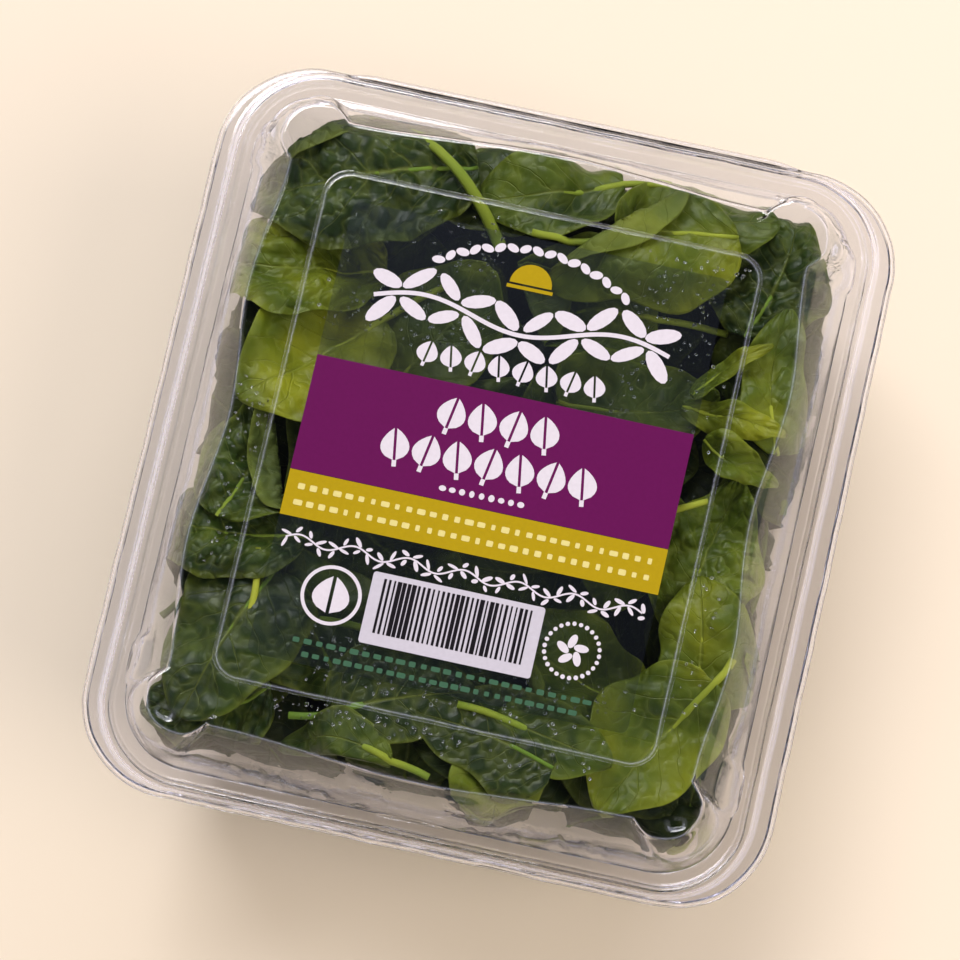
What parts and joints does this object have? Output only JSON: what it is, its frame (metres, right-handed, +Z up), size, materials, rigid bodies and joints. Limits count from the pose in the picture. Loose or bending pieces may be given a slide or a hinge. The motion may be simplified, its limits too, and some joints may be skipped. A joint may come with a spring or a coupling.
{
  "type": "clamshell of baby spinach",
  "caption": "Clear hinged clamshell box with a scalloped tray, a raised label panel and a clear label, filled with a heap of baby spinach leaves.",
  "frame": {"origin": "middle of the underside of the box's bounding box", "axes": "+Z up through the lid, +Y towards the hinge at the back, -Y towards the front where the lid opens, +X to the right seen from the front"},
  "size_m": [0.177, 0.1934, 0.0758],
  "materials": {
    "clear_pet": "clear thermoformed sheet, glossy",
    "label_film": "clear film printed in purple, mustard yellow and white",
    "spinach_leaf": "satin fresh leaves, deep green to yellow green, with paler veins and stems"
  },
  "bodies": {
    "base": {"base_tray": "clear_pet", "spinach_leaves": "spinach_leaf"},
    "lid": {"lid": "clear_pet", "label": "label_film"}
  },
  "joints": [
    {"name": "lid_hinge", "type": "hinge", "parent": "base", "child": "lid", "pos_m": [0, 0.097, 0.0562], "axis": [-1, 0, 0], "range_deg": [0, 180]}
  ]
}
